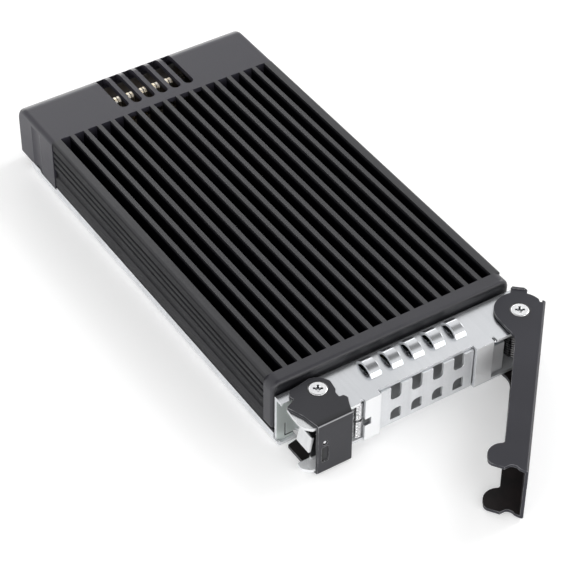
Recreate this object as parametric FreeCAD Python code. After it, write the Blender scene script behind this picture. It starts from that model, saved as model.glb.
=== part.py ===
import FreeCAD, Part
import math
import os

os.makedirs("parts", exist_ok=True)
V = FreeCAD.Vector

# ---------------------------------------------------------------------------
# Hot swap drive caddy: a folded steel tray with a finned aluminium cover,
# a hinged ejector lever at the front right and a sprung latch at the front
# left.  Millimetres.
#
# Everything is drawn with x = 0 on the centre line, y = 0 at the seam between
# the rear cap and the fins (+y to the rear), and z = 0 on the fin tops.  At
# the end each piece is moved by (0, Y_SHIFT, HEIGHT), which puts the origin in
# the middle of the tray's flat underside, with +Z up and +Y to the rear.
# ---------------------------------------------------------------------------

HEIGHT = 18.4            # underside of the tray to the fin tops
Y_SHIFT = 48.8           # seam to the middle of the tray floor

# finned cover (black anodised extrusion)
HW = 34.93               # half width of the cover
COVER_LEN = 105.65       # length of the extrusion
COVER_BOT = -15.05       # lower edge of its side walls
FIN_PITCH = 4.116
FIN_T = 1.28
FIN_N = 15
FIN_DEPTH = 7.8
BASE_T = 2.0             # plate under the fins
WALL_IN = 32.4           # inner face of the side walls
TOP_R = 0.8              # rounding of the long top edges
PORT_X = 29.0            # screw ports under the base plate
PORT_Z = -10.6
PORT_R = 2.0
PORT_HOLE_R = 0.85
LIP_IN, LIP_OUT, LIP_BOT = 32.4, 33.8, -17.2   # guide lips inside the tray flanges

# rear cap
CAP_HW = 35.1
CAP_REAR = 20.5
CAP_WALL = 1.5
CAP_BOT = -16.2
CAP_EDGE_R = 1.3           # edges round both side walls
CAP_REAR_R = 4.6           # long rounding from the top over to the rear face
SLOT_W = FIN_PITCH - FIN_T
SLOT_FRONT = 3.2
SLOT_REAR = 19.3
SLOT_N = 6

# front frame
FRAME_Y0, FRAME_Y1 = -105.65, -109.5
FRAME_HW = 35.1

# tray (galvanised sheet)
T = 0.8                  # sheet thickness of tray and bracket
TRAY_HW = 35.0
TRAY_BOT = -18.4
TRAY_REAR, TRAY_FRONT = 14.2, -111.8
FLANGE_TOP = -15.35
RAISED_BOT = -16.8       # underside of the raised front floor
RAISED_TOP = RAISED_BOT + T
JOG_Y0, JOG_Y1 = -108.4, -110.0
VENT_Y = -122.0          # front face of the folded-up vent panel
VENT_X0, VENT_X1 = -12.35, 15.0
VENT_TOP = -3.85
VENT_PITCH = 6.2

# front bracket
BR_TOP = -3.0
BR_REAR = -110.2
BR_FRONT = -123.0
LANCE_X0, LANCE_PITCH, LANCE_W = -12.15, 6.26, 3.1
LANCE_Y0, LANCE_Y1, LANCE_RISE = -117.65, -110.85, 2.15

# lever
LEV_X, LEV_Y = 31.76, -118.2     # pivot
LEV_T = 0.8
LEV_TOP, LEV_BOT = -1.9, -18.0
LEV_W0 = 6.1                     # pivot to the outer face of the wall
LEV_OPEN = 48.0                  # swing from closed to open, degrees
# latch
LAT_X, LAT_Y = -25.3, -114.3     # pivot
LAT_TOP, LAT_BOT = -1.9, -18.2
LAT_FRONT = -125.0
# pivot screws: the heads are the journals of the lever and the latch
HEAD_R = 2.33
PIVOT_HOLE_R = 2.40              # 0.07 mm radial running clearance
SHANK_R = 1.25

# carrier board
BOARD_BOT, BOARD_T = -16.2, 1.0
BOARD_TOP = BOARD_BOT + BOARD_T
BOARD_HW = 24.0
BOARD_Y0, BOARD_Y1 = -103.5, 17.8


# ------------------------------- helpers -----------------------------------
def box(x0, x1, y0, y1, z0, z1):
    x0, x1 = min(x0, x1), max(x0, x1)
    y0, y1 = min(y0, y1), max(y0, y1)
    z0, z1 = min(z0, z1), max(z0, z1)
    return Part.makeBox(x1 - x0, y1 - y0, z1 - z0, V(x0, y0, z0))


def cyl_z(x, y, z0, z1, r):
    z0, z1 = min(z0, z1), max(z0, z1)
    return Part.makeCylinder(r, z1 - z0, V(x, y, z0), V(0, 0, 1))


def cyl_y(x, z, y0, y1, r):
    y0, y1 = min(y0, y1), max(y0, y1)
    return Part.makeCylinder(r, y1 - y0, V(x, y0, z), V(0, 1, 0))


def cyl_x(y, z, x0, x1, r):
    x0, x1 = min(x0, x1), max(x0, x1)
    return Part.makeCylinder(r, x1 - x0, V(x0, y, z), V(1, 0, 0))


def wire2d(pts, to3d):
    """Closed wire through (u, v[, r]) points; r rounds that corner."""
    n = len(pts)
    starts, arcs = [], []
    for i in range(n):
        p = pts[i]
        u, v = p[0], p[1]
        r = p[2] if len(p) > 2 else 0.0
        if r <= 0:
            starts.append(((u, v), (u, v)))
            arcs.append(None)
            continue
        a, b = pts[i - 1], pts[(i + 1) % n]
        da = (a[0] - u, a[1] - v)
        db = (b[0] - u, b[1] - v)
        la, lb = math.hypot(*da), math.hypot(*db)
        da = (da[0] / la, da[1] / la)
        db = (db[0] / lb, db[1] / lb)
        cosang = max(-1.0, min(1.0, da[0] * db[0] + da[1] * db[1]))
        half = math.acos(cosang) / 2.0
        d = r / math.tan(half)
        t1 = (u + da[0] * d, v + da[1] * d)
        t2 = (u + db[0] * d, v + db[1] * d)
        bis = (da[0] + db[0], da[1] + db[1])
        lbis = math.hypot(*bis)
        bis = (bis[0] / lbis, bis[1] / lbis)
        c = (u + bis[0] * r / math.sin(half), v + bis[1] * r / math.sin(half))
        m = (c[0] - bis[0] * r, c[1] - bis[1] * r)
        starts.append((t1, t2))
        arcs.append(m)
    edges = []
    for i in range(n):
        t1, t2 = starts[i]
        if arcs[i] is not None:
            edges.append(Part.Arc(to3d(t1), to3d(arcs[i]), to3d(t2)).toShape())
        nxt = starts[(i + 1) % n][0]
        if math.hypot(nxt[0] - t2[0], nxt[1] - t2[1]) > 1e-6:
            edges.append(Part.LineSegment(to3d(t2), to3d(nxt)).toShape())
    return Part.Wire(edges)


def prism_xy(pts, z0, z1):
    z0, z1 = min(z0, z1), max(z0, z1)
    w = wire2d(pts, lambda p: V(p[0], p[1], z0))
    return Part.Face(w).extrude(V(0, 0, z1 - z0))


def prism_xz(pts, y0, y1):
    y0, y1 = min(y0, y1), max(y0, y1)
    w = wire2d(pts, lambda p: V(p[0], y0, p[1]))
    return Part.Face(w).extrude(V(0, y1 - y0, 0))


def prism_yz(pts, x0, x1):
    x0, x1 = min(x0, x1), max(x0, x1)
    w = wire2d(pts, lambda p: V(x0, p[0], p[1]))
    return Part.Face(w).extrude(V(x1 - x0, 0, 0))


def fuse(*shapes):
    s = shapes[0].multiFuse(list(shapes[1:])) if len(shapes) > 1 else shapes[0]
    return s.removeSplitter()


def cut(s, *tools):
    for t in tools:
        s = s.cut(t)
    return s


def mirror_x(s):
    return s.mirror(V(0, 0, 0), V(1, 0, 0))


def pan_screw(head_r, head_h, shank_r, length, recess=0.45):
    """Cross-recess screw along -z: bearing face of the head at z = 0."""
    head = Part.makeCylinder(head_r, head_h, V(0, 0, 0), V(0, 0, 1))
    edge = [e for e in head.Edges if abs(e.BoundBox.ZMin - head_h) < 1e-6
            and abs(e.BoundBox.ZMax - head_h) < 1e-6]
    head = head.makeFillet(min(0.3, head_h * 0.35), edge[:1])
    shank = Part.makeCylinder(shank_r, length, V(0, 0, -length), V(0, 0, 1))
    tip = [e for e in shank.Edges if abs(e.BoundBox.ZMin + length) < 1e-6
           and abs(e.BoundBox.ZMax + length) < 1e-6]
    shank = shank.makeChamfer(min(0.3, shank_r * 0.35), tip[:1])
    s = head.fuse(shank).removeSplitter()
    w = head_r * 0.25
    a = head_r * 0.52
    for k in (0, 90):
        c = Part.makeBox(2 * a, w, recess, V(-a, -w / 2, head_h - recess))
        c.rotate(V(0, 0, 0), V(0, 0, 1), k - 32.5)
        s = s.cut(c)
    c = Part.makeCone(head_r * 0.16, head_r * 0.34, recess, V(0, 0, head_h - recess), V(0, 0, 1))
    return s.cut(c)


def put(name, *shapes):
    """Move to the final frame and write parts/NAME.step."""
    solids = []
    for s in shapes:
        for so in s.Solids:
            so = so.copy()
            so.translate(V(0, Y_SHIFT, HEIGHT))
            solids.append(so)
    shape = solids[0] if len(solids) == 1 else Part.makeCompound(solids)
    ok = all(so.isValid() for so in solids)
    bb = shape.BoundBox
    print("%-26s solids %3d  valid %s  vol %9.2f  x %.2f..%.2f y %.2f..%.2f z %.2f..%.2f" % (
        name, len(solids), ok, shape.Volume, bb.XMin, bb.XMax, bb.YMin, bb.YMax, bb.ZMin, bb.ZMax))
    shape.exportStep("parts/%s.step" % name)


# --------------------------- heatsink_cover --------------------------------
def heatsink_cover():
    # right-hand outer outline from the top edge down: land, three cooling
    # grooves, a shallow concave band, a ledge
    g = 0.80            # groove depth
    right = [(HW, 0.0, TOP_R)]
    for zc in (-3.10, -5.15, -7.25):
        right += [(HW, zc + 0.48), (HW - g, zc + 0.28), (HW - g, zc - 0.28), (HW, zc - 0.48)]
    right += [(HW, -8.9), (HW - 0.55, -9.75, 1.2), (HW - 0.55, -11.9), (HW, -12.35),
              (HW, COVER_BOT, 0.35), (LIP_OUT, COVER_BOT), (LIP_OUT, LIP_BOT, 0.3),
              (LIP_IN, LIP_BOT, 0.3), (WALL_IN, -(FIN_DEPTH + BASE_T), 0.8)]
    left = []
    for p in reversed(right):
        left.append((-p[0],) + tuple(p[1:]))
    body = prism_xz(right + left, -COVER_LEN, 0.0)
    # the guide lips stop short of both ends
    for s in (-1, 1):
        x0, x1 = sorted((s * (LIP_IN - 0.2), s * (LIP_OUT + 0.3)))
        body = body.cut(box(x0, x1, -COVER_LEN - 1, -101.6, COVER_BOT, LIP_BOT - 1))
        body = body.cut(box(x0, x1, -3.0, 1, COVER_BOT, LIP_BOT - 1))
    # screw ports: round bosses hanging under the base plate
    for s in (-1, 1):
        boss = cyl_y(s * PORT_X, PORT_Z, -COVER_LEN, 0, PORT_R)
        web = box(s * PORT_X - PORT_R, s * PORT_X + PORT_R, -COVER_LEN, 0, PORT_Z, -(FIN_DEPTH + 0.5))
        body = body.fuse(boss).fuse(web)
    body = body.removeSplitter()
    for s in (-1, 1):
        body = body.cut(cyl_y(s * PORT_X, PORT_Z, -COVER_LEN - 1, 1, PORT_HOLE_R))
    # fin gaps
    half = FIN_N // 2
    gaps = []
    for k in range(-half - 1, half + 1):
        x0 = k * FIN_PITCH + FIN_T / 2
        x1 = (k + 1) * FIN_PITCH - FIN_T / 2
        gaps.append(prism_xz([(x0, 1.0), (x1, 1.0), (x1, -FIN_DEPTH, 0.5), (x0, -FIN_DEPTH, 0.5)],
                             -COVER_LEN - 1, 1))
    return body.cut(Part.makeCompound(gaps))


put("heatsink_cover", heatsink_cover())


# ------------------------------ rear_cap -----------------------------------
def rear_cap():
    outer = prism_yz([(0, 0), (CAP_REAR, 0, CAP_REAR_R), (CAP_REAR, CAP_BOT), (0, CAP_BOT)], -CAP_HW, CAP_HW)
    sides = [e for e in outer.Edges if e.BoundBox.XLength < 0.01 and e.BoundBox.YMax > 0.1
             and e.BoundBox.ZMax > CAP_BOT + 0.1]
    outer = outer.makeFillet(CAP_EDGE_R, sides)
    low = [e for e in outer.Edges if e.BoundBox.ZMax < CAP_BOT + 0.01 and e.BoundBox.YMin > CAP_REAR - 0.01
           and e.BoundBox.XLength > 40]
    outer = outer.makeFillet(0.9, low)
    # the lower edge steps up towards the fins
    foot = prism_yz([(-1, -17), (14.3, -17), (13.6, -15.25, 0.3), (9.0, -15.25, 0.3), (8.3, -15.95, 0.3), (-1, -15.95)],
                    -HW - 1, HW + 1)
    outer = outer.cut(foot)
    w = CAP_WALL
    hx = CAP_HW - w
    # hollow inside, open underneath
    inner = prism_yz([(w, -w, 0.6), (CAP_REAR - w, -w, CAP_REAR_R - w), (CAP_REAR - w, -20), (w, -20)], -hx, hx)
    inner = inner.common(prism_xy([(-hx, 0), (hx, 0), (hx, CAP_REAR - w, 1.0), (-hx, CAP_REAR - w, 1.0)], -21, 0))
    # the front wall is open in the middle, so that air runs from the fin gaps to the slots
    mid = box(-12.4, 12.4, -1, w + 0.5, -w, -20)
    low = box(-hx, hx, -1, w + 0.5, -13.6, -20)
    c = outer.cut(inner).cut(mid).cut(low)
    # window for the rear connector, open at the bottom so that the cover lifts off
    c = c.cut(prism_xz([(-17.3, -20), (17.3, -20), (17.3, -4.6, 0.6), (-17.3, -4.6, 0.6)],
                       CAP_REAR - w - 0.5, CAP_REAR + 1))
    # six vent slots in line with the fin gaps, running on over the rounded rear edge
    for k in range(SLOT_N):
        xc = (k - (SLOT_N - 1) / 2.0) * FIN_PITCH
        x0, x1 = xc - SLOT_W / 2, xc + SLOT_W / 2
        r = SLOT_W / 2 - 0.01
        c = c.cut(prism_xy([(x0, SLOT_FRONT, r), (x1, SLOT_FRONT, r), (x1, SLOT_REAR, 0.4), (x0, SLOT_REAR, 0.4)],
                           -3.6, 1))
    # shallow finger scoop in each side
    for s in (-1, 1):
        c = c.cut(cyl_z(s * (HW + 6.15), 9.6, -20, -2.2, 6.5))
    # screw clearance holes in the front wall and access holes in the rear wall
    for s in (-1, 1):
        c = c.cut(cyl_y(s * PORT_X, PORT_Z, -1, w + 1, 1.15))
        c = c.cut(cyl_y(s * PORT_X, PORT_Z, CAP_REAR - w - 1, CAP_REAR + 1, 2.3))
    return c.removeSplitter()


put("rear_cap", rear_cap())


def cap_screws():
    out = []
    for s in (-1, 1):
        sc = pan_screw(1.9, 1.3, 0.84, 8.0)
        sc.rotate(V(0, 0, 0), V(1, 0, 0), -90)      # +z -> +y
        sc.translate(V(s * PORT_X, CAP_WALL, PORT_Z))
        out.append(sc)
    return out


put("cap_screws", *cap_screws())


# ----------------------------- front_frame ---------------------------------
FRAME_TOP = 0.15
FRAME_BOT = -15.05
CBORE_D = 1.5


def front_frame():
    pts = [(-FRAME_HW, FRAME_TOP, 2.6), (FRAME_HW, FRAME_TOP, 2.6),
           (FRAME_HW, FRAME_BOT, 1.2), (-FRAME_HW, FRAME_BOT, 1.2)]
    f = prism_xz(pts, FRAME_Y0, FRAME_Y1)
    front = [e for e in f.Edges if e.BoundBox.YMax < FRAME_Y1 + 0.01]
    f = f.makeFillet(1.1, front)
    f = f.cut(prism_xz([(-17.0, -4.2, 1.0), (17.0, -4.2, 1.0), (17.0, -14.3, 0.4), (-17.0, -14.3, 0.4)],
                       FRAME_Y0 + 1, FRAME_Y1 - 1))
    for s in (-1, 1):
        f = f.cut(cyl_y(s * PORT_X, PORT_Z, FRAME_Y0 + 1, FRAME_Y1 - 1, 1.15))
        f = f.cut(cyl_y(s * PORT_X, PORT_Z, FRAME_Y1 - 1, FRAME_Y1 + CBORE_D, 2.1))
    return f


put("front_frame", front_frame())


def frame_screws():
    out = []
    for s in (-1, 1):
        sc = pan_screw(1.9, 1.3, 0.84, 8.0)
        sc.rotate(V(0, 0, 0), V(1, 0, 0), 90)       # +z -> -y
        sc.translate(V(s * PORT_X, FRAME_Y1 + CBORE_D, PORT_Z))
        out.append(sc)
    return out


put("frame_screws", *frame_screws())

# thermal pad stuck under the base plate
PAD_T = 1.2
PAD_BOT = -(FIN_DEPTH + BASE_T) - PAD_T
put("thermal_pad", box(-11.0, 11.0, -99.0, 2.0 - 3.0, PAD_BOT, -(FIN_DEPTH + BASE_T)))


# ------------------------------ tray_base ----------------------------------
def tray_base():
    # U section: floor and two low side flanges
    o, i = TRAY_HW, TRAY_HW - T
    zt, zf, zb = FLANGE_TOP, TRAY_BOT + T, TRAY_BOT
    u = [(-o, zt), (-o, zb, 1.0), (o, zb, 1.0), (o, zt), (i, zt), (i, zf, 0.25), (-i, zf, 0.25), (-i, zt)]
    tray = prism_xz(u, TRAY_FRONT, TRAY_REAR)
    for s in (-1, 1):
        x0, x1 = sorted((s * (i - 0.3), s * (o + 1)))
        # flange steps down under the cap's foot, is chamfered at the rear end
        # and is low in front of the cover
        tray = tray.cut(prism_yz([(-0.5, -16.25), (8.3, -16.25), (9.1, -15.55), (13.1, -15.55),
                                  (TRAY_REAR + 1, -17.6), (TRAY_REAR + 1, -10), (-0.5, -10)], x0, x1))
        tray = tray.cut(box(x0, x1, TRAY_FRONT - 1, BR_REAR + 0.25, zf + 0.55, -10))
    # the floor ends at the joggle, except for a short strip at the left corner
    tray = tray.cut(box(-29.5, TRAY_HW + 1, TRAY_FRONT - 1, JOG_Y0, TRAY_BOT - 1, -10))
    # joggle and raised front floor, then the vent panel folded up in front
    zr = RAISED_BOT
    vp = VENT_Y
    path = [(JOG_Y0 + 1.0, zb), (JOG_Y0, zb, 0.6), (JOG_Y1, zr, 0.6), (vp, zr, 1.1), (vp, VENT_TOP),
            (vp + T, VENT_TOP), (vp + T, zr + T, 0.3), (JOG_Y1 + 0.35, zr + T, 0.6),
            (JOG_Y0 + 0.35, zf, 0.6), (JOG_Y0 + 1.0, zf)]
    sheet = prism_yz(path, -40, 40)
    # outline of the raised floor in plan
    plan = [(-29.5, JOG_Y0 + 2), (-29.5, -110.6, 0.6), (-28.9, -111.6, 0.6),
            (-28.9, -114.3), (-28.4, -117.0, 1.5), (-25.3, -118.0, 1.5), (-22.4, -118.9, 1.0),
            (-22.4, -122.15, 0.5), (-13.6, -122.15, 0.5), (-13.6, -121.0), (VENT_X0 - 0.6, -121.0),
            (VENT_X0 - 0.6, -119.9), (VENT_X0, -119.9), (VENT_X0, -126), (VENT_X1, -126), (VENT_X1, -119.9),
            (VENT_X1 + 0.6, -119.9), (VENT_X1 + 0.6, -122.4), (30.0, -122.4),
            (33.6, -122.4, 2.2), (TRAY_HW - 0.2, -118.5, 2.2), (TRAY_HW - 0.2, JOG_Y0 + 2)]
    raised = sheet.common(prism_xy(plan, -30, 0))
    raised = raised.cut(box(-40, VENT_X0, -130, VENT_Y + T + 0.01, RAISED_TOP + 0.001, 0))
    raised = raised.cut(box(VENT_X1, 40, -130, VENT_Y + T + 0.01, RAISED_TOP + 0.001, 0))
    # floor areas that lie in front of the sheet's own front edge
    front_l = prism_xy([(-22.4, -119.5), (-13.6, -119.5), (-13.6, -122.15, 0.3), (-22.4, -122.15, 0.5)],
                       RAISED_BOT, RAISED_TOP)
    front_r = prism_xy([(VENT_X1 + 0.6, -119.5), (TRAY_HW - 0.2, -118.5), (33.6, -122.4, 2.2),
                        (VENT_X1 + 0.6, -122.4)], RAISED_BOT, RAISED_TOP)
    raised = raised.cut(box(-40, VENT_X0 - 0.01, -130, -120.6, RAISED_BOT - 1, RAISED_BOT + 5))
    raised = raised.cut(box(VENT_X1 + 0.01, 40, -130, -120.6, RAISED_BOT - 1, RAISED_BOT + 5))
    # a tab folded up behind the lever's spring
    guard = prism_yz([(-121.4, RAISED_BOT + 0.3), (-121.4, -6.6), (-120.6, -6.6), (-120.6, RAISED_TOP - 0.1)],
                     20.9, 25.0)
    tray = tray.multiFuse([raised, front_l, front_r, guard]).removeSplitter()
    # vent panel: four notches between five fingers, four D-shaped holes below
    for k in range(4):
        x0 = -9.45 + VENT_PITCH * k
        tray = tray.cut(prism_xz([(x0, 0), (x0, -8.05, 1.1), (x0 + 3.1, -8.05, 1.1), (x0 + 3.1, 0)],
                                 VENT_Y - 1, VENT_Y + T + 0.2))
        x0 = -9.30 + VENT_PITCH * k
        tray = tray.cut(prism_xz([(x0, -11.35, 1.5), (x0 + 3.1, -11.35, 0.5), (x0 + 3.1, -14.7, 0.3),
                                  (x0, -14.7, 0.3)], VENT_Y - 1, VENT_Y + T + 0.2))
    # pivot screw holes and rivet holes
    for (x, y) in ((LEV_X, LEV_Y), (LAT_X, LAT_Y)):
        tray = tray.cut(cyl_z(x, y, RAISED_BOT - 1, RAISED_TOP + 1, 1.30))
    for (x, y, z) in RIVETS:
        tray = tray.cut(cyl_z(x, y, z - 0.5, z + 1.5, 1.0))
    return tray


# (x, y, underside of the sheet the rivet is set in)
RIVETS = [(-32.0, -106.7, TRAY_BOT), (-32.0, -103.7, TRAY_BOT),
          (25.8, -112.8, RAISED_BOT), (28.3, -112.8, RAISED_BOT)]
tray = tray_base()
put("tray_base", tray)


# ----------------------------- front_bracket -------------------------------
def front_bracket():
    z1, z0 = BR_TOP, BR_TOP - T
    yf, yr = BR_FRONT, BR_REAR
    ex = LAT_X - 3.5
    # top plate with the edges of its two front tabs
    plate = prism_xy([
        (-34.8, yr), (34.8, yr), (34.8, -119.2), (34.4, -121.6, 1.5), (32.4, -123.0, 1.2), (21.35, -123.0, 0.3),
        (21.35, -121.5, 0.35), (20.5, -121.5, 0.35), (20.4, yf), (15.2, yf), (15.2, -121.0, 0.3), (14.5, -121.4, 0.3),
        (-12.2, -121.4, 0.3), (-13.0, -121.0, 0.3), (-13.0, yf), (-17.5, yf), (-17.5, -121.9, 0.4),
        (-18.4, -121.9, 0.4), (-18.7, -122.8, 0.3), (-22.9, -122.8, 0.5), (-22.9, -118.4, 1.0),
        (-25.3, -117.9, 1.2), (ex, -117.2, 2.4), (ex, -112.2, 0.5), (-34.8, -112.2, 0.2)], z0, z1)
    parts = [plate]
    # front tabs, folded down with a small outside radius
    for (x0, x1, zb) in ((-17.5, -13.0, -16.3), (15.2, 20.4, -15.7)):
        tab = prism_yz([(yf + 3.0, z1), (yf, z1, 0.9), (yf, zb), (yf + T, zb), (yf + T, z0, 0.15), (yf + 3.0, z0)],
                       x0, x1)
        parts.append(tab)
    b = fuse(*parts)
    # rear walls at both ends, folded down, with a foot folded to the rear
    zf = TRAY_BOT + T
    wall_l = prism_yz([(yr - 3, z1), (yr, z1, 0.9), (yr, zf + 0.02), (yr - T, zf + 0.02), (yr - T, z0, 0.15), (yr - 3, z0)],
                      -34.8, -29.9)
    wall_l2 = prism_yz([(yr - 3, z1), (yr, z1, 0.9), (yr, RAISED_TOP + 0.02), (yr - T, RAISED_TOP + 0.02),
                        (yr - T, z0, 0.15), (yr - 3, z0)], -29.9, -21.5)
    wall_r = prism_yz([(yr - 3, z1), (yr, z1, 0.9), (yr, RAISED_TOP + 0.02), (yr - T, RAISED_TOP + 0.02),
                       (yr - T, z0, 0.15), (yr - 3, z0)], 24.5, 34.8)
    foot_l = prism_yz([(yr - T, zf + 0.02), (-102.2, zf + 0.02), (-102.2, zf + T + 0.02), (yr, zf + T + 0.02)],
                      -33.6, -30.2)
    b = fuse(b, wall_l, wall_l2, wall_r, foot_l)
    # the right-hand foot is folded forwards on to the raised floor
    foot_r = box(24.6, 29.4, -114.2, yr - 0.1, RAISED_TOP + 0.02, RAISED_TOP + T + 0.02)
    b = fuse(b, foot_r)
    b = b.cut(box(-36, -34.1, yr - T - 1, yr + 1, -20, -16.95))
    # five bridge louvres: slots pierced in the plate, the strips arched upwards
    hy = (LANCE_Y1 - LANCE_Y0) / 2
    yc = (LANCE_Y1 + LANCE_Y0) / 2
    R = (hy * hy + LANCE_RISE ** 2) / (2 * LANCE_RISE)
    zc = BR_TOP + LANCE_RISE - R
    for k in range(5):
        x0 = LANCE_X0 + LANCE_PITCH * k
        x1 = x0 + LANCE_W
        b = b.cut(box(x0, x1, LANCE_Y0, LANCE_Y1, z0 - 1, z1 + 1))
        ring = cyl_x(yc, zc, x0, x1, R).cut(cyl_x(yc, zc, x0 - 1, x1 + 1, R - 0.7))
        ring = ring.common(box(x0, x1, LANCE_Y0 - 0.30, LANCE_Y1 + 0.30, z0 + 0.15, z1 + 5))
        b = b.fuse(ring)
    b = b.removeSplitter()
    # notch for the leg of the latch spring, slit of the L-shaped tab in the left rear wall
    b = b.cut(box(-18.5, -15.7, yf - 1, yf + T + 0.5, -11.4, -9.2))
    b = b.cut(box(-32.5, -32.15, yr - T - 1, yr + 1, -16.7, -12.4))
    b = b.cut(box(-32.5, -29.2, yr - T - 1, yr + 1, -16.75, -16.4))
    for (x, y) in ((LEV_X, LEV_Y), (LAT_X, LAT_Y)):
        b = b.cut(cyl_z(x, y, z0 - 1, z1 + 1, 1.30))
    for (x, y, z) in RIVETS:
        b = b.cut(cyl_z(x, y, z + T - 0.5, z + 2 * T + 0.5, 1.0))
    return b


bracket = front_bracket()
put("front_bracket", bracket)


def bracket_rivets():
    out = []
    for (x, y, z) in RIVETS:
        top = z + 2 * T + 0.02
        head = Part.makeCylinder(1.15, 0.45, V(x, y, top), V(0, 0, 1))
        e = [e for e in head.Edges if abs(e.BoundBox.ZMin - top - 0.45) < 1e-6]
        head = head.makeFillet(0.25, e[:1])
        out.append(head.fuse(cyl_z(x, y, z + 0.05, top, 1.0)).removeSplitter())
    return out


put("bracket_rivets", *bracket_rivets())


# ------------------------------ pivot posts --------------------------------
def post(x, y):
    p = cyl_z(x, y, RAISED_TOP, BR_TOP - T, 2.1)
    return p.cut(cyl_z(x, y, RAISED_TOP - 1, BR_TOP, SHANK_R))


put("lever_post", post(LEV_X, LEV_Y))
put("latch_post", post(LAT_X, LAT_Y))


def pivot_screws(x, y, low):
    top = pan_screw(HEAD_R, 1.2, SHANK_R, 4.5, 0.75)
    top.translate(V(x, y, BR_TOP))
    h = RAISED_BOT - low
    bot = pan_screw(HEAD_R, h, SHANK_R, 4.5, 0.75)
    bot.rotate(V(0, 0, 0), V(1, 0, 0), 180)
    bot.translate(V(x, y, RAISED_BOT))
    return [top, bot]


put("lever_pivot_screws", *pivot_screws(LEV_X, LEV_Y, LEV_BOT + 0.02))
put("latch_pivot_screws", *pivot_screws(LAT_X, LAT_Y, LAT_BOT + 0.02))


# ----------------------------- lever_handle --------------------------------
def lever_outline():
    """Plan outline, drawn closed: a runs from the pivot towards -x, p inwards
    from the outer face of the wall.  Returned as a wire in x, y."""
    def P(a, p):
        return V(LEV_X - a, LEV_Y - LEV_W0 + p, -30)
    e = []
    R = 6.45

    def on(deg):
        # point of the round head, deg measured from the +a direction towards +p
        return (R * math.cos(math.radians(deg)), LEV_W0 + R * math.sin(math.radians(deg)))
    cur = [(-4.4, 0.0)]

    def line(q):
        e.append(Part.LineSegment(P(*cur[0]), P(*q)).toShape())
        cur[0] = q

    def arc(m, q):
        e.append(Part.Arc(P(*cur[0]), P(*m), P(*q)).toShape())
        cur[0] = q
    line((53.85, 0.0))
    line((53.6, 1.0))
    line((53.05, 2.2))
    arc((52.25, 3.3), (52.4, 4.5))
    line((53.3, 5.5))
    line((52.6, 8.5))
    arc((51.9, 9.35), (50.8, 9.65))
    arc((47.5, 9.25), (45.75, 6.9))
    arc((45.5, 6.35), (44.9, 6.15))
    line((25.4, 6.25))
    line((11.5, 6.45))
    arc((9.2, 7.0), (7.4, 8.5))
    line(on(43))
    arc(on(135), on(222))
    line((-3.75, 1.45))
    line((-3.75, 0.90))
    line((-4.4, 0.90))
    line((-4.4, 0.0))
    return Part.Wire(e)


def lever_handle():
    x0, x1 = LEV_X - 56, LEV_X + 10
    yw = LEV_Y - LEV_W0
    t = LEV_T
    u = [(yw, LEV_TOP, 0.6), (yw + 18, LEV_TOP), (yw + 18, LEV_TOP - t), (yw + t, LEV_TOP - t, 0.2),
         (yw + t, LEV_BOT + t, 0.2), (yw + 18, LEV_BOT + t), (yw + 18, LEV_BOT), (yw, LEV_BOT, 0.6)]
    chan = prism_yz(u, x0, x1)
    outline = Part.Face(lever_outline()).extrude(V(0, 0, 40))
    lev = chan.common(outline)
    # cam tab at the back of the head, on the top plate, with a small upturned lip
    tab = prism_xy([(LEV_X + 4.0, LEV_Y - 1.3), (LEV_X + 7.6, LEV_Y - 1.3, 0.4), (LEV_X + 8.1, LEV_Y - 0.7, 0.3),
                    (LEV_X + 8.0, LEV_Y + 2.9, 0.4), (LEV_X + 4.0, LEV_Y + 2.6)], LEV_TOP - t, LEV_TOP)
    lip = box(LEV_X + 7.45, LEV_X + 8.0, LEV_Y - 0.6, LEV_Y + 2.6, LEV_TOP - t, LEV_TOP + 0.3)
    lev = lev.multiFuse([tab, lip]).removeSplitter()
    lev = lev.cut(cyl_z(LEV_X, LEV_Y, LEV_BOT - 1, LEV_TOP + 1, PIVOT_HOLE_R))
    lev.rotate(V(LEV_X, LEV_Y, 0), V(0, 0, 1), LEV_OPEN)
    return lev


put("lever_handle", lever_handle())


# ------------------------------ springs ------------------------------------
def coil(x, y, z0, turns, pitch, rm, rw, leg0, leg1, start):
    """Close-wound torsion spring on a vertical axis, wound upwards from the
    angle `start`, with a straight tangent leg at each end."""
    s = pitch / (2 * math.pi)
    n = int(round(turns * 14))
    t0 = math.radians(start)
    pts = []
    for i in range(n + 1):
        t = 2 * math.pi * turns * i / n
        pts.append(V(x + rm * math.cos(t0 + t), y + rm * math.sin(t0 + t), z0 + s * t))
    c = Part.BSplineCurve()
    c.interpolate(pts)
    e = c.toShape()
    ta, tb = e.tangentAt(e.FirstParameter), e.tangentAt(e.LastParameter)
    a, b = pts[0] - ta * leg0, pts[-1] + tb * leg1
    w = Part.Wire([Part.LineSegment(a, pts[0]).toShape(), e, Part.LineSegment(pts[-1], b).toShape()])
    prof = Part.Wire([Part.makeCircle(rw, a, ta)])
    return w.makePipeShell([prof], True, True)


# lever spring: lower leg bears on the guard tab, upper leg on the vent panel side
put("lever_spring", coil(LEV_X, LEV_Y, -14.9, 12.25, 0.76, 3.5, 0.34, 2.6, 1.5, 90.0))

# two short coils stacked on one pin, reaching from the raised floor to the plate
LSP_X, LSP_Y = -18.35, -120.6
put("latch_spring", coil(LSP_X, LSP_Y, -15.3, 9.4, 0.52, 1.45, 0.21, 1.2, 1.6, 180.0),
    coil(LSP_X, LSP_Y, -9.3, 9.4, 0.52, 1.45, 0.21, 1.2, 1.6, 180.0))
put("latch_spring_pin", cyl_z(LSP_X, LSP_Y, RAISED_TOP, BR_TOP - T, 1.1))


# ----------------------------- release_latch -------------------------------
PIN_X, PIN_Z = -30.2, -8.2


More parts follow.
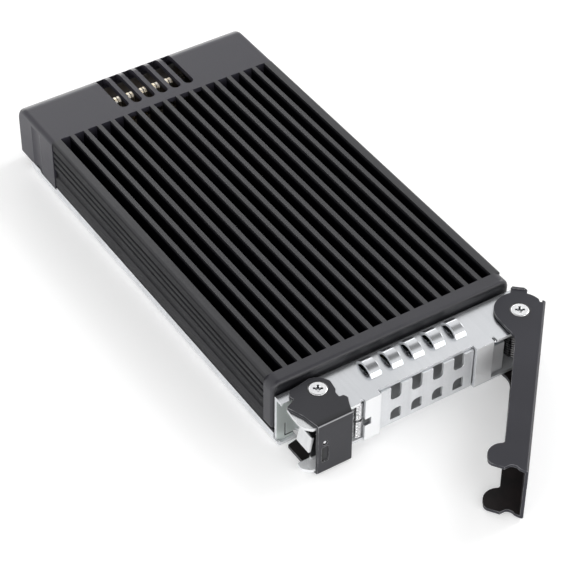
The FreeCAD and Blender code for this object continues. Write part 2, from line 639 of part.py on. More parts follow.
def release_latch():
    yf, t = LAT_FRONT, 0.8
    u = [(yf, LAT_TOP, 0.6), (yf + 18, LAT_TOP), (yf + 18, LAT_TOP - t), (yf + t, LAT_TOP - t, 0.2),
         (yf + t, LAT_BOT + t, 0.2), (yf + 18, LAT_BOT + t), (yf + 18, LAT_BOT), (yf, LAT_BOT, 0.6)]
    chan = prism_yz(u, -40, -15)
    top = prism_xy([(-31.5, -111.25, 0.4), (-28.2, -110.85, 1.0), (-25.3, -110.30, 1.6), (-22.9, -111.15, 1.6),
                    (-21.35, -113.5, 1.4), (-21.85, -116.6, 1.0), (-22.5, -117.6, 0.4), (-22.5, -119.15, 0.3),
                    (-21.3, -119.25, 0.5), (-20.85, -120.5, 0.5), (-21.7, -122.2, 0.8), (-22.4, -124.0, 0.3),
                    (-22.5, yf), (-32.2, yf), (-32.45, -123.6, 0.8), (-33.2, -119.9, 2.0), (-34.95, -115.55, 0.35),
                    (-31.95, -114.25, 0.4), (-32.45, -113.1, 0.3)], -10, 0)
    low = prism_xy([(-33.2, -113.5, 0.4), (-29.6, -112.85, 0.4), (-28.0, -111.9, 0.6), (-25.3, -110.9, 1.6),
                    (-22.6, -111.9, 1.6), (-21.9, -114.3, 1.0), (-22.5, -117.6, 0.6), (-22.5, yf), (-32.2, yf),
                    (-32.3, -124.0, 0.3), (-33.2, -120.4, 0.4)], -20, -10)
    lat = chan.common(top.fuse(low))
    lat = lat.cut(cyl_z(LAT_X, LAT_Y, LAT_BOT - 1, LAT_TOP + 1, PIVOT_HOLE_R))
    # pin hole and a shallow upright recess in the front plate
    lat = lat.cut(cyl_y(PIN_X, PIN_Z, yf - 1, yf + t + 1, 0.72))
    lat = lat.cut(prism_xz([(-31.15, -9.5, 0.5), (-29.1, -9.5, 0.5), (-29.1, -14.5, 0.5), (-31.15, -14.5, 0.5)],
                           yf - 1, yf + 0.3))
    return lat.removeSplitter()


put("release_latch", release_latch())


def latch_hook():
    t = 0.8
    zt1 = LAT_TOP - 0.8           # meets the underside of the latch's top plate
    zt0 = zt1 - t
    zb0 = LAT_BOT + 0.8
    zb1 = zb0 + t
    yf = LAT_FRONT + 0.8
    top = prism_xy([(-34.75, -115.1, 0.5), (-35.1, -118.6, 3.0), (-35.1, -122.2, 2.0), (-33.3, yf, 1.2),
                    (-24.2, yf, 0.3), (-24.2, -118.9, 0.3), (-30.6, -118.9, 0.6), (-30.6, -115.1, 0.3)], zt0, zt1)
    low = prism_xy([(-34.95, -120.4, 0.3), (-35.1, -122.4, 1.4), (-33.3, yf, 1.0), (-24.2, yf, 0.3),
                    (-24.2, -120.4)], zb0, zb1)
    web = box(-31.5, -24.2, -121.2, -120.4, zb0 + 0.2, zt1 - 0.2)
    # side lug: a small plate that leans outwards at the bottom
    lug = prism_xz([(-33.05, -6.6, 0.3), (-34.0, -11.0, 0.3), (-33.2, -11.15, 0.2), (-32.25, -6.75, 0.2)],
                   -123.35, -118.4)
    arm = prism_xz([(-31.0, -7.2), (-32.6, -7.2), (-33.5, -10.9), (-31.0, -10.9)], -121.2, -120.4)
    # stub that locates the hook in the front plate's pin hole
    pin = cyl_y(PIN_X, PIN_Z, LAT_FRONT + 0.2, -121.0, 0.40)
    return fuse(top, low, web, lug, arm, pin)


put("latch_hook", latch_hook())


# --------------------------- board and connectors --------------------------
STANDOFFS = [(-20.5, 6.0), (20.5, 6.0), (-20.5, -46.0), (20.5, -46.0), (-20.5, -98.0), (20.5, -98.0)]


def carrier_board():
    b = prism_xy([(-BOARD_HW, BOARD_Y0, 1.0), (BOARD_HW, BOARD_Y0, 1.0), (BOARD_HW, BOARD_Y1, 1.0),
                  (-BOARD_HW, BOARD_Y1, 1.0)], BOARD_BOT, BOARD_TOP)
    for (x, y) in STANDOFFS:
        b = b.cut(cyl_z(x, y, BOARD_BOT - 1, BOARD_TOP + 1, 1.1))
    b = b.cut(cyl_z(0, DRIVE_STOP_Y, BOARD_BOT - 1, BOARD_TOP + 1, 1.5))
    return b


DRIVE_STOP_Y = -101.6
put("carrier_board", carrier_board())


def board_standoffs():
    out = []
    for (x, y) in STANDOFFS:
        s = cyl_z(x, y, TRAY_BOT + T, BOARD_BOT, 2.1)
        out.append(s.cut(cyl_z(x, y, TRAY_BOT, BOARD_BOT + 1, 0.8)))
    return out


put("board_standoffs", *board_standoffs())


def board_screws():
    out = []
    for (x, y) in STANDOFFS:
        s = pan_screw(1.8, 1.0, 0.79, 2.2)
        s.translate(V(x, y, BOARD_TOP))
        out.append(s)
    return out


put("board_screws", *board_screws())

SOCK_Y0, SOCK_Y1, SOCK_TOP = 3.4, 9.6, -11.1


def m2_socket():
    s = box(-11.2, 11.2, SOCK_Y0, SOCK_Y1, BOARD_TOP, SOCK_TOP)
    s = s.cut(prism_xz([(-10.0, -12.3), (10.0, -12.3), (10.0, -13.7), (-10.0, -13.7)], SOCK_Y0 - 1, SOCK_Y0 + 4.8))
    s = s.cut(box(-9.6, 9.6, SOCK_Y0 - 1, SOCK_Y0 + 1.0, -13.4, -14.4))
    return s.fuse(box(5.6, 6.8, SOCK_Y0 + 0.9, SOCK_Y0 + 4.9, -12.0, -14.0)).removeSplitter()


put("m2_socket", m2_socket())


def m2_contacts():
    out = []
    for k in range(-18, 19):
        x = k * 0.5
        out.append(prism_yz([(SOCK_Y1, -12.2), (SOCK_Y1 + 0.45, -12.2), (SOCK_Y1 + 0.45, BOARD_TOP + 0.2),
                             (SOCK_Y1 + 1.1, BOARD_TOP + 0.2), (SOCK_Y1 + 1.1, BOARD_TOP),
                             (SOCK_Y1 + 0.25, BOARD_TOP), (SOCK_Y1 + 0.25, -12.4), (SOCK_Y1, -12.4)],
                            x - 0.11, x + 0.11))
    return out


put("m2_contacts", *m2_contacts())

RC_HW, RC_Y0, RC_Y1, RC_TOP = 16.6, 12.5, 20.1, -4.95


def rear_connector():
    c = prism_yz([(RC_Y0, BOARD_TOP), (RC_Y0, RC_TOP, 0.6), (RC_Y1, RC_TOP, 0.3), (RC_Y1, -15.3), (BOARD_Y1 + 0.05, -15.3),
                  (BOARD_Y1 + 0.05, BOARD_TOP)], -RC_HW, RC_HW)
    c = c.cut(prism_xz([(-15.0, -6.6, 0.8), (15.0, -6.6, 0.8), (15.0, -12.8, 0.8), (-15.0, -12.8, 0.8)],
                       RC_Y1 - 4.8, RC_Y1 + 1))
    tongue = box(-13.4, 13.4, RC_Y1 - 5.0, RC_Y1 - 0.4, -10.5, -8.9)
    key = box(4.6, 6.2, RC_Y1 - 5.0, RC_Y1 + 1, -11.0, -8.4)
    return c.fuse(tongue).removeSplitter().cut(key)


put("rear_connector", rear_connector())


def rear_connector_contacts():
    out = []
    # blades on both faces of the tongue
    for k in range(-12, 13):
        x = k * 1.0
        if 4.3 < x < 6.5:
            continue
        for (za, zb) in ((-8.9, -8.78), (-10.62, -10.5)):
            out.append(box(x - 0.3, x + 0.3, RC_Y1 - 4.6, RC_Y1 - 0.8, za, zb))
    # tails in seven pairs: over the top of the housing, down its front to the board
    for k in range(7):
        for d in (-0.5, 0.5):
            x = (k - 3.5) * FIN_PITCH + 2.41 + d
            out.append(prism_yz([(RC_Y0 + 1.5, RC_TOP), (RC_Y0 + 1.5, RC_TOP + 0.45, 0.2),
                                 (RC_Y0 + 0.2, RC_TOP + 0.45, 0.25), (RC_Y0 - 0.45, RC_TOP - 0.35, 0.3),
                                 (RC_Y0 - 0.45, BOARD_TOP), (RC_Y0, BOARD_TOP), (RC_Y0, RC_TOP - 0.3),
                                 (RC_Y0 + 0.3, RC_TOP)], x - 0.36, x + 0.36))
    return out


put("rear_connector_contacts", *rear_connector_contacts())


def drive_standoff():
    s = cyl_z(0, DRIVE_STOP_Y, BOARD_TOP, -13.35, 2.6).fuse(cyl_z(0, DRIVE_STOP_Y, BOARD_BOT, BOARD_TOP, 1.48))
    s = s.fuse(cyl_z(0, DRIVE_STOP_Y, -13.35, -12.55, 1.65)).removeSplitter()
    return s.cut(cyl_z(0, DRIVE_STOP_Y, BOARD_BOT + 0.3, -12, 0.8))


put("drive_standoff", drive_standoff())


def drive_screw():
    s = pan_screw(2.25, 0.8, 0.79, 2.4, 0.5)
    s.translate(V(0, DRIVE_STOP_Y, -12.55))
    return s


put("drive_screw", drive_screw())
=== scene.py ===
import bpy, bmesh, math
from mathutils import Vector, Matrix

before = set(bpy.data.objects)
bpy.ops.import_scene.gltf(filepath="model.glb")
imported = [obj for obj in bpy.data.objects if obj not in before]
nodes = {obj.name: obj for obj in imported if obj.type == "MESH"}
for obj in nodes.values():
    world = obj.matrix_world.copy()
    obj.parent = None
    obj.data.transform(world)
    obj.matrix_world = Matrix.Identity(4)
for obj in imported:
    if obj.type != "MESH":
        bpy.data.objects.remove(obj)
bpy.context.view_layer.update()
MM = 0.001
SHIFT = Vector((0.0, 48.8, 18.4))


# ---------------------------------------------------------------------------
# material helpers: every finish is built from nodes in object space (metres)
# ---------------------------------------------------------------------------
class Mat:
    def __init__(self, name):
        self.m = bpy.data.materials.new(name)
        self.m.use_nodes = True
        self.t = self.m.node_tree
        self.t.nodes.clear()
        self.out = self.new("ShaderNodeOutputMaterial")
        self.b = self.new("ShaderNodeBsdfPrincipled")
        self.link(self.b.outputs["BSDF"], self.out.inputs["Surface"])
        self.tc = self.new("ShaderNodeTexCoord")

    def new(self, kind, **kw):
        n = self.t.nodes.new(kind)
        for k, v in kw.items():
            setattr(n, k, v)
        return n

    def link(self, a, b):
        self.t.links.new(a, b)

    def set(self, name, v):
        self.b.inputs[name].default_value = v

    def coords(self, scale=(1, 1, 1)):
        n = self.new("ShaderNodeMapping")
        n.inputs["Scale"].default_value = scale
        self.link(self.tc.outputs["Object"], n.inputs["Vector"])
        return n.outputs["Vector"]

    def noise(self, scale, stretch=(1, 1, 1), detail=4.0, rough=0.55, distort=0.0):
        n = self.new("ShaderNodeTexNoise")
        n.inputs["Scale"].default_value = scale
        n.inputs["Detail"].default_value = detail
        n.inputs["Roughness"].default_value = rough
        n.inputs["Distortion"].default_value = distort
        self.link(self.coords(stretch), n.inputs["Vector"])
        return n.outputs["Fac"]

    def ramp(self, fac, stops):
        n = self.new("ShaderNodeValToRGB")
        cr = n.color_ramp
        while len(cr.elements) < len(stops):
            cr.elements.new(0.5)
        for e, (p, c) in zip(cr.elements, stops):
            e.position = p
            e.color = tuple(c) + (1.0,) if len(c) == 3 else tuple(c)
        self.link(fac, n.inputs["Fac"])
        return n.outputs["Color"]

    def mrange(self, fac, lo, hi, a=0.0, b=1.0):
        n = self.new("ShaderNodeMapRange")
        n.inputs["From Min"].default_value = lo
        n.inputs["From Max"].default_value = hi
        n.inputs["To Min"].default_value = a
        n.inputs["To Max"].default_value = b
        self.link(fac, n.inputs["Value"])
        return n.outputs["Result"]

    def math(self, op, a, b=None):
        n = self.new("ShaderNodeMath", operation=op)
        for i, v in enumerate((a, b)):
            if v is None:
                continue
            if isinstance(v, (int, float)):
                n.inputs[i].default_value = v
            else:
                self.link(v, n.inputs[i])
        return n.outputs[0]

    def mix(self, fac, a, b):
        n = self.new("ShaderNodeMix", data_type="RGBA")
        self.link(fac, n.inputs[0])
        for i, v in ((6, a), (7, b)):
            if isinstance(v, tuple):
                n.inputs[i].default_value = v + (1.0,) if len(v) == 3 else v
            else:
                self.link(v, n.inputs[i])
        return n.outputs[2]

    def span(self, v, a0, a1, b0, b1):
        """1 between a1 and b0, falling to 0 at a0 and b1."""
        return self.math("MULTIPLY", self.mrange(v, a0, a1), self.mrange(v, b1, b0))

    def radius(self, x, y):
        """distance from an upright axis through (x, y)"""
        p = self.xyz()
        dx = self.math("SUBTRACT", p[0], x)
        dy = self.math("SUBTRACT", p[1], y)
        q = self.math("ADD", self.math("MULTIPLY", dx, dx), self.math("MULTIPLY", dy, dy))
        return self.math("SQRT", q)

    def xyz(self):
        n = self.new("ShaderNodeSeparateXYZ")
        self.link(self.tc.outputs["Object"], n.inputs[0])
        return n.outputs

    def nrm(self):
        n = self.new("ShaderNodeSeparateXYZ")
        self.link(self.tc.outputs["Normal"], n.inputs[0])
        return n.outputs

    def bump(self, height, strength, dist_mm, prev=None):
        n = self.new("ShaderNodeBump")
        n.inputs["Strength"].default_value = strength
        n.inputs["Distance"].default_value = dist_mm * MM
        self.link(height, n.inputs["Height"])
        if prev is not None:
            self.link(prev, n.inputs["Normal"])
        return n.outputs["Normal"]


def anodised():
    k = Mat("black_anodised_extrusion")
    # long faint die lines run the length of the extrusion
    die = k.noise(1.0, (2600, 12, 2600), detail=3)
    cloud = k.noise(90, detail=3)
    c = k.ramp(die, [(0.30, (0.021, 0.021, 0.0235)), (0.70, (0.032, 0.032, 0.0355))])
    # painted shade: the gaps between the fins and the side flanks are coloured darker, with less specular, to stand in
    # for their shade
    p = k.xyz()
    inner = k.mrange(k.math("ABSOLUTE", p[0]), 0.0337, 0.0333)
    painted_gap_shade = k.math("MULTIPLY", k.mrange(p[2], 0.0183, 0.0171), inner)
    painted_flank_shade = k.mrange(k.math("ABSOLUTE", k.nrm()[0]), 0.60, 0.95)
    painted_flank_shade = k.math("MULTIPLY", painted_flank_shade, k.mrange(inner, 1, 0))
    c = k.mix(k.math("MULTIPLY", painted_flank_shade, 0.85), c, (0.006, 0.006, 0.0075))
    c = k.mix(painted_gap_shade, c, (0.0016, 0.0014, 0.0028))
    k.link(c, k.b.inputs["Base Color"])
    k.link(k.mrange(k.math("MAXIMUM", painted_gap_shade, painted_flank_shade), 0, 1, 0.5, 0.10), k.b.inputs["Specular IOR Level"])
    k.link(k.mrange(painted_gap_shade, 0, 1, 0.15, 0.0), k.b.inputs["Metallic"])
    r = k.math("ADD", k.mrange(cloud, 0.3, 0.7, 0.36, 0.46), k.mrange(die, 0.3, 0.7, -0.04, 0.04))
    k.link(r, k.b.inputs["Roughness"])
    grain = k.noise(9000, detail=2)
    n = k.bump(grain, 0.25, 0.012)
    n = k.bump(die, 0.18, 0.02, n)
    k.link(n, k.b.inputs["Normal"])
    return k.m


def plastic(name, lo, hi, r0, r1, tex=2600, strength=0.35, front=0.0, painted_shine=0.0):
    k = Mat(name)
    fine = k.noise(tex, detail=2, rough=0.5)
    cloud = k.noise(60, detail=3)
    c = k.ramp(k.math("ADD", k.math("MULTIPLY", fine, 0.5), k.math("MULTIPLY", cloud, 0.5)), [(0.35, lo), (0.65, hi)])
    if painted_shine:
        # painted highlight: the long rounding at the rear is coloured paler to stand in for its sheen
        nn = k.nrm()
        painted_sheen_mask = k.math("MULTIPLY", k.span(nn[1], 0.14, 0.36, 0.52, 0.74), k.mrange(nn[2], 0.55, 0.68))
        c = k.mix(painted_sheen_mask, c, (painted_shine, painted_shine, painted_shine * 1.02))
    if front:
        # painted shade: the front faces of the moulding are coloured deeper in tone to stand in for their shade
        painted_face_shade = k.mrange(k.nrm()[1], -0.62, -0.96, 0.0, front)
        c = k.mix(painted_face_shade, c, (0.004, 0.004, 0.0045))
    k.link(c, k.b.inputs["Base Color"])
    k.link(k.mrange(cloud, 0.3, 0.7, r0, r1), k.b.inputs["Roughness"])
    k.link(k.bump(fine, strength, 0.03), k.b.inputs["Normal"])
    return k.m


def edge_wear(k, radius_mm, samples=6):
    """Bevel normal and its dot with the true normal: 1 on flat faces, lower along outside and inside edges."""
    edge = k.new("ShaderNodeBevel", samples=samples)
    edge.inputs["Radius"].default_value = radius_mm * MM
    g = k.new("ShaderNodeNewGeometry")
    d = k.new("ShaderNodeVectorMath", operation="DOT_PRODUCT")
    k.link(edge.outputs["Normal"], d.inputs[0])
    k.link(g.outputs["Normal"], d.inputs[1])
    return edge.outputs["Normal"], d.outputs["Value"]


def paint(name, lo, hi, inside=None, pivot=None, fold=0.05, crease_y=None):
    """Satin black stove paint on sheet steel, worn through to grey along the
    cut edges of the sheet; the hollow side was sprayed with a browner coat."""
    k = Mat(name)
    peel = k.noise(1500, detail=2)
    cloud = k.noise(70, detail=4)
    base = k.ramp(cloud, [(0.3, lo), (0.7, hi)])
    if inside is not None:
        # faces that look up from the lower plate, or back at the wall
        n = k.nrm()
        p = k.xyz()
        up = k.mrange(n[2], 0.5, 0.8)
        low = k.mrange(p[2], 0.0080, 0.0070)
        floor_ = k.math("MULTIPLY", up, low)
        dirn = k.new("ShaderNodeVectorMath", operation="DOT_PRODUCT")
        k.link(k.tc.outputs["Normal"], dirn.inputs[0])
        dirn.inputs[1].default_value = inside
        wall = k.mrange(dirn.outputs["Value"], 0.85, 0.95)
        ins = k.math("MAXIMUM", floor_, wall)
        tint = k.ramp(k.noise(160, detail=3), [(0.35, (0.0095, 0.0085, 0.0090)), (0.65, (0.0180, 0.0140, 0.0140))])
        base = k.mix(ins, base, tint)
        k.link(k.mrange(ins, 0, 1, 0.42, 0.16), k.b.inputs["Specular IOR Level"])
    n = k.nrm()
    p = k.xyz()
    # painted highlight: the long fold is coloured paler; painted shade: the crease behind it is coloured darker
    high = k.mrange(p[2], 0.0156, 0.0159)
    painted_fold_highlight = k.math("MULTIPLY", k.span(n[2], 0.28, 0.40, 0.70, 0.84), high)
    if crease_y is not None:
        # painted shade: upward faces just behind the fold are coloured darker
        painted_crease_shade = k.math("MULTIPLY", k.mrange(p[1], crease_y[0], crease_y[1]), k.mrange(n[2], 0.88, 0.97))
        base = k.mix(k.math("MULTIPLY", painted_crease_shade, 0.85), base, (0.002, 0.002, 0.003))
    if pivot is not None:
        # painted shade: a dark ring is coloured round the pivot
        painted_pivot_shade = k.mrange(k.radius(*pivot), 0.00285, 0.00250)
        base = k.mix(painted_pivot_shade, base, (0.0008, 0.0008, 0.001))
    if crease_y is not None:
        # painted shade: the shallow recess of the front plate is coloured darker, deepest at its left, to stand in for
        # its shade
        painted_face_shade = k.math("MULTIPLY", k.mrange(n[1], -0.80, -0.95), k.span(p[1], -0.07615, -0.07600, -0.0757, -0.0755))
        painted_face_shade = k.math("MULTIPLY", painted_face_shade, k.span(p[2], 0.0036, 0.0038, 0.0090, 0.0092))
        painted_face_shade = k.math("MULTIPLY", painted_face_shade, k.mrange(p[0], -0.0300, -0.0306, 0.35, 0.95))
        base = k.mix(painted_face_shade, base, (0.001, 0.001, 0.001))
    # painted highlight: the long fold is mixed to a paler tone
    base = k.mix(painted_fold_highlight, base, (fold, fold, fold * 1.03))
    edge, dot = edge_wear(k, 0.20)
    wear = k.mrange(dot, 0.995, 0.86, 0.0, 1.0)
    patch = k.mrange(k.noise(420, detail=4), 0.38, 0.60, 0.15, 1.0)
    wear = k.math("MULTIPLY", wear, patch)
    k.link(k.mix(wear, base, (0.42, 0.42, 0.43)), k.b.inputs["Base Color"])
    k.link(k.math("MULTIPLY", wear, 0.6), k.b.inputs["Metallic"])
    k.link(k.mrange(cloud, 0.3, 0.7, 0.36, 0.46), k.b.inputs["Roughness"])
    n = k.bump(peel, 0.20, 0.02, edge)
    k.link(n, k.b.inputs["Normal"])
    return k.m


def creases(k, dist_mm, lo, hi, floor_=0.25):
    """Ambient-occlusion mask for painted shade: 1 in the open, falling to floor_ in recesses and tight corners."""
    ao = k.new("ShaderNodeAmbientOcclusion", samples=6)
    ao.inputs["Distance"].default_value = dist_mm * MM
    return k.mrange(ao.outputs["AO"], lo, hi, floor_, 1.0)


def galvanised(name, lo=(0.66, 0.675, 0.70), hi=(0.76, 0.775, 0.80), r0=0.20, r1=0.27, metallic=1.0, wear_mm=0.14,
               side_metal=0.72, side_rough=0.46, part=""):
    """Zinc-coated sheet.  The broad faces keep the mill's smooth skin; the
    faces folded upright were drawn through the tool and are duller."""
    k = Mat(name)
    roll = k.noise(1.0, (1500, 25, 1500), detail=3)
    cloud = k.noise(45, detail=4)
    sp = k.noise(900, detail=3)
    f = k.math("ADD", k.math("MULTIPLY", roll, 0.25), k.math("MULTIPLY", cloud, 0.75))
    c = k.ramp(f, [(0.32, lo), (0.68, hi)])
    edge, dot = edge_wear(k, wear_mm)
    wear = k.mrange(dot, 0.995, 0.85, 0.0, 0.7)
    c = k.mix(wear, c, (0.93, 0.935, 0.945))
    # painted shade: ambient occlusion darkens recesses and tight corners
    painted_occlusion_shade = creases(k, 1.2, 0.15, 0.75, 0.35)
    c = k.mix(painted_occlusion_shade, (0.20, 0.205, 0.21), c)
    nn = k.nrm()
    p = k.xyz()
    nz = k.math("ABSOLUTE", nn[2])
    side = k.mrange(nz, 0.55, 0.20)
    met = k.mrange(side, 0, 1, metallic, side_metal)
    r = k.mrange(cloud, 0.3, 0.7, r0, r1)
    r = k.math("ADD", r, k.math("MULTIPLY", side, side_rough - r1))
    # faint upright streaks where the sheet was drawn over the die
    streak = k.noise(1.0, (420, 420, 18), detail=3)
    streak = k.math("MULTIPLY", k.mrange(streak, 0.42, 0.62), side)
    c = k.mix(k.math("MULTIPLY", streak, 0.16), c, (0.33, 0.335, 0.345))
    if part == "bracket":
        # the five bridges were burnished by the lancing tool
        arch = k.math("MULTIPLY", k.mrange(p[2], 0.01545, 0.01560), k.mrange(k.math("ABSOLUTE", nn[0]), 0.4, 0.2))
        r = k.math("ADD", k.math("MULTIPLY", r, k.mrange(arch, 0, 1, 1.0, 0.0)), k.math("MULTIPLY", arch, 0.17))
        # painted light: the two front tabs are coloured paler and less metallic than the plate, to stand in for the
        # light they catch
        painted_tab_light = k.math("MULTIPLY", k.mrange(p[1], -0.0730, -0.0738), k.mrange(nn[1], -0.8, -0.95))
        c = k.mix(painted_tab_light, c, (0.84, 0.845, 0.855))
        met = k.math("MULTIPLY", met, k.mrange(painted_tab_light, 0, 1, 1.0, 0.55))
        # the passivation at the left corner has a faint green cast
        green = k.math("MULTIPLY", k.mrange(p[0], -0.0200, -0.0230), k.mrange(nn[1], -0.6, -0.9))
        c = k.mix(green, c, (0.74, 0.80, 0.775))
    if part == "tray":
        # the raised floor behind the vent panel was never burnished: matt zinc
        inside = k.math("MULTIPLY", k.mrange(nn[2], 0.7, 0.9), k.mrange(p[2], 0.0030, 0.0027))
        inside = k.math("MULTIPLY", inside, k.span(p[1], -0.0736, -0.0733, -0.0560, -0.0555))
        met = k.math("MULTIPLY", met, k.mrange(inside, 0, 1, 1.0, 0.35))
        r = k.math("MAXIMUM", r, k.math("MULTIPLY", inside, 0.62))
        # painted light: the upright guard beside the lever's spring is coloured pale and less metallic, to stand in
        # for the light it catches
        painted_guard_light = k.math("MULTIPLY", k.mrange(p[0], 0.0204, 0.0208), k.mrange(nn[1], -0.8, -0.95))
        painted_guard_light = k.math("MULTIPLY", painted_guard_light, k.mrange(p[2], 0.0026, 0.0034))
        c = k.mix(painted_guard_light, c, (0.93, 0.935, 0.95))
        met = k.math("MULTIPLY", met, k.mrange(painted_guard_light, 0, 1, 1.0, 0.6))
    if part == "hook":
        # painted shade: the web behind the side lug is coloured black to stand in for the shade inside the latch; the
        # lower flange is left dull
        painted_web_shade = k.math("MULTIPLY", k.span(p[1], -0.0728, -0.0726, -0.0713, -0.0711), k.mrange(p[2], 0.0022, 0.0028))
        painted_web_shade = k.math("MULTIPLY", painted_web_shade, k.mrange(p[0], -0.0328, -0.0324))
        c = k.mix(painted_web_shade, c, (0.010, 0.010, 0.012))
        low = k.mrange(p[2], 0.0026, 0.0022)
        met = k.math("MULTIPLY", met, k.mrange(k.math("MAXIMUM", low, painted_web_shade), 0, 1, 1.0, 0.25))
    k.link(c, k.b.inputs["Base Color"])
    k.link(met, k.b.inputs["Metallic"])
    k.link(r, k.b.inputs["Roughness"])
    n = k.bump(sp, 0.06, 0.006, edge)
    n = k.bump(roll, 0.05, 0.006, n)
    k.link(n, k.b.inputs["Normal"])
    return k.m


def metal(name, lo, hi, r0, r1, scale=600, crease=None):
    k = Mat(name)
    c = k.noise(scale, detail=3)
    turn = k.noise(1.0, (300, 300, 9000), detail=2)
    col = k.ramp(c, [(0.3, lo), (0.7, hi)])
    if crease:
        # painted shade: ambient occlusion darkens the recesses of the screws
        painted_occlusion_shade = creases(k, crease, 0.35, 0.85, 0.0)
        col = k.mix(painted_occlusion_shade, (0.13, 0.133, 0.142), col)
    k.link(col, k.b.inputs["Base Color"])
    k.set("Metallic", 1.0)
    k.link(k.mrange(c, 0.3, 0.7, r0, r1), k.b.inputs["Roughness"])
    k.link(k.bump(turn, 0.10, 0.008), k.b.inputs["Normal"])
    return k.m


def board():
    k = Mat("solder_masked_board")
    cloud = k.noise(200, detail=4)
    tr = k.new("ShaderNodeTexBrick")
    tr.inputs["Scale"].default_value = 260
    tr.inputs["Mortar Size"].default_value = 0.03
    tr.inputs["Color1"].default_value = (0.008, 0.020, 0.016, 1)
    tr.inputs["Color2"].default_value = (0.007, 0.016, 0.013, 1)
    tr.inputs["Mortar"].default_value = (0.018, 0.040, 0.032, 1)
    k.link(k.coords(), tr.inputs["Vector"])
    k.link(k.mix(k.mrange(cloud, 0.4, 0.6, 0, 0.4), tr.outputs["Color"], (0.005, 0.012, 0.010)), k.b.inputs["Base Color"])
    k.link(k.mrange(cloud, 0.3, 0.7, 0.22, 0.35), k.b.inputs["Roughness"])
    k.link(k.bump(tr.outputs["Fac"], 0.3, 0.03), k.b.inputs["Normal"])
    return k.m


M = {
    "anod": anodised(),
    "cap": plastic("moulded_cap_plastic", (0.0215, 0.0205, 0.0285), (0.0290, 0.0276, 0.0372), 0.40, 0.50, painted_shine=0.20),
    "frame": plastic("moulded_frame_plastic", (0.0200, 0.0196, 0.0250), (0.0270, 0.0262, 0.0330), 0.36, 0.46, 2200, 0.25, 0.75),
    "paint_lever": paint("satin_black_lever", (0.0088, 0.0088, 0.0150), (0.0125, 0.0125, 0.0198), (-0.743, 0.669, 0.0),
                         (0.03176, -0.0694), 0.035),
    "paint_latch": paint("satin_black_latch", (0.0122, 0.0123, 0.0165), (0.0168, 0.0169, 0.0220), (0.0, 1.0, 0.0),
                         (-0.0253, -0.0655), 0.26, (-0.0742, -0.0756)),
    "galv": galvanised("galvanised_bracket", part="bracket"),
    "galv_in": galvanised("galvanised_tray", (0.68, 0.695, 0.71), (0.80, 0.81, 0.83), 0.30, 0.40, 0.95, 0.14, 0.62, 0.5, "tray"),
    "galv_hook": galvanised("galvanised_hook", (0.70, 0.71, 0.725), (0.84, 0.85, 0.86), 0.24, 0.34, 0.95, 0.14, 0.75, 0.42, "hook"),
    "zinc": metal("bright_zinc", (0.84, 0.845, 0.86), (0.93, 0.93, 0.94), 0.20, 0.26, 300, 0.9),
    "zinc2": metal("turned_steel", (0.55, 0.55, 0.56), (0.70, 0.70, 0.71), 0.25, 0.36),
    "blackscrew": metal("black_oxide", (0.03, 0.03, 0.032), (0.06, 0.06, 0.062), 0.35, 0.5),
    "wire_black": metal("black_spring_wire", (0.10, 0.098, 0.100), (0.20, 0.195, 0.197), 0.16, 0.26),
    "wire": metal("drawn_spring_wire", (0.48, 0.48, 0.485), (0.82, 0.82, 0.83), 0.12, 0.20, 900),
    "pcb": board(),
    "conn": plastic("connector_plastic", (0.030, 0.024, 0.018), (0.055, 0.040, 0.026), 0.45, 0.6, 1800, 0.2),
    "gold": metal("gold_flash", (0.90, 0.76, 0.52), (0.99, 0.96, 0.90), 0.24, 0.34, 1400),
    "brass": metal("turned_brass", (0.62, 0.46, 0.20), (0.76, 0.58, 0.28), 0.25, 0.35),
    "pad": plastic("thermal_pad", (0.20, 0.26, 0.36), (0.26, 0.32, 0.42), 0.7, 0.85, 1200, 0.4),
}

USE = {
    "heatsink_cover": "anod", "rear_cap": "cap", "front_frame": "frame", "lever_handle": "paint_lever",
    "release_latch": "paint_latch", "latch_hook": "galv_hook", "front_bracket": "galv", "tray_base": "galv_in",
    "bracket_rivets": "zinc2", "lever_post": "zinc2", "latch_post": "zinc2", "lever_pivot_screws": "zinc",
    "latch_pivot_screws": "zinc", "lever_spring": "wire_black", "latch_spring": "wire", "latch_spring_pin": "zinc2",
    "carrier_board": "pcb", "board_standoffs": "zinc2", "board_screws": "zinc", "m2_socket": "conn",
    "m2_contacts": "gold", "rear_connector": "conn", "rear_connector_contacts": "gold",
    "drive_standoff": "brass", "drive_screw": "zinc", "cap_screws": "blackscrew", "frame_screws": "blackscrew",
    "thermal_pad": "pad",
}
for n, o in nodes.items():
    o.data.materials.clear()
    o.data.materials.append(M[USE[n]])

# ---------------------------------------------------------------------------
# studio: pale floor, soft boxes
# ---------------------------------------------------------------------------
bm = bmesh.new()
bmesh.ops.create_grid(bm, x_segments=1, y_segments=1, size=3.0)
me = bpy.data.meshes.new("floor")
bm.to_mesh(me)
bm.free()
floor = bpy.data.objects.new("floor", me)
floor.location = (0, 0, -0.00005)
bpy.context.scene.collection.objects.link(floor)
kf = Mat("pale_floor")
c = kf.noise(3.0, detail=2)
kf.link(kf.ramp(c, [(0.3, (0.80, 0.80, 0.80)), (0.7, (0.815, 0.815, 0.815))]), kf.b.inputs["Base Color"])
kf.set("Emission Color", (1.0, 1.0, 1.0, 1.0))
kf.set("Emission Strength", 0.30)
kf.set("Roughness", 0.9)
kf.set("Specular IOR Level", 0.1)
floor.data.materials.append(kf.m)

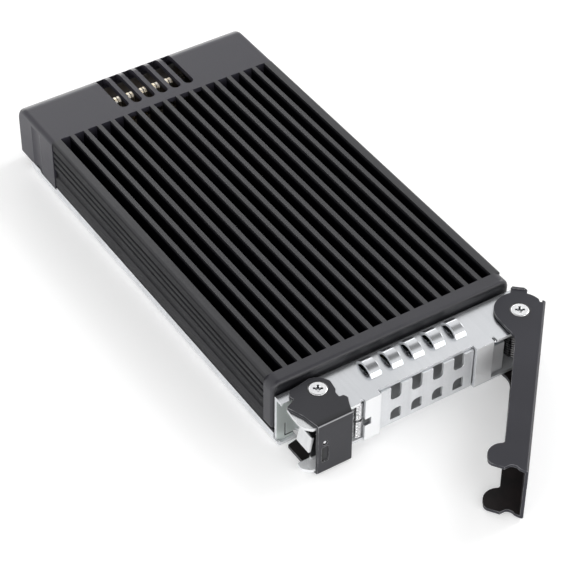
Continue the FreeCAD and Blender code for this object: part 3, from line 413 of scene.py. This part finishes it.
world = bpy.data.worlds.new("studio")
bpy.context.scene.world = world
world.use_nodes = True
wt = world.node_tree
wb = wt.nodes.get("Background") or wt.nodes.new("ShaderNodeBackground")
wc = wt.nodes.new("ShaderNodeTexCoord")
ws = wt.nodes.new("ShaderNodeSeparateXYZ")
wr = wt.nodes.new("ShaderNodeValToRGB")
wt.links.new(wc.outputs["Generated"], ws.inputs[0])
wt.links.new(ws.outputs["Z"], wr.inputs["Fac"])
wt.links.new(wr.outputs["Color"], wb.inputs["Color"])
stops = [(0.00, 0.95), (0.30, 1.12), (0.50, 0.95), (0.78, 0.88), (0.88, 0.22), (1.00, 0.12)]
cr = wr.color_ramp
while len(cr.elements) < len(stops):
    cr.elements.new(0.5)
for e, (p, v) in zip(cr.elements, stops):
    e.position = p
    e.color = (v * 0.5, v * 0.5, v * 0.5, 1.0)
wb.inputs["Strength"].default_value = 2.0


def area(name, loc, target, sx, sy, power, colour=(1, 1, 1)):
    d = bpy.data.lights.new(name, "AREA")
    d.shape = "RECTANGLE"
    d.size, d.size_y = sx, sy
    d.energy = power
    d.color = colour
    o = bpy.data.objects.new(name, d)
    o.location = loc
    o.rotation_mode = "QUATERNION"
    o.rotation_quaternion = (Vector(target) - Vector(loc)).to_track_quat("-Z", "Y")
    bpy.context.scene.collection.objects.link(o)
    return o


area("key", (0.78, 0.04, 0.60), (0, 0, 0), 0.5, 0.5, 4.2)
area("rear", (0.10, 0.85, 0.45), (0, 0, 0), 0.6, 0.3, 1.0)
area("rear_low", (0.42, 0.92, 0.20), (0, 0.06, 0.015), 0.6, 0.22, 1.0)
area("left", (-0.85, -0.25, 0.30), (0, 0, 0), 0.5, 0.35, 1.1)
area("front", (0.25, -0.95, 0.40), (0, -0.05, 0), 0.6, 0.4, 2.0)
area("front_left", (-0.42, -0.90, 0.26), (0, -0.05, 0.01), 0.4, 0.3, 1.8)

# ---------------------------------------------------------------------------
# camera
# ---------------------------------------------------------------------------
cam = bpy.data.cameras.new("camera")
cam.lens = 2083.97 / 570.0 * 36.0
cam.sensor_width = 36.0
cam.clip_start, cam.clip_end = 0.02, 20.0
co = bpy.data.objects.new("camera", cam)
R = Matrix(((0.8396226985, 0.3601120467, -0.4066362477),
            (-0.5431317988, 0.5655023453, -0.6206568671),
            (0.0064477370, 0.7419746703, 0.6703969088)))
co.rotation_mode = "QUATERNION"
co.rotation_quaternion = R.to_quaternion()
co.location = (Vector((-223.1114755, -401.6234506, 346.0392467)) + SHIFT) * MM
bpy.context.scene.collection.objects.link(co)
bpy.context.scene.camera = co
bpy.context.scene.view_settings.view_transform = "Standard"
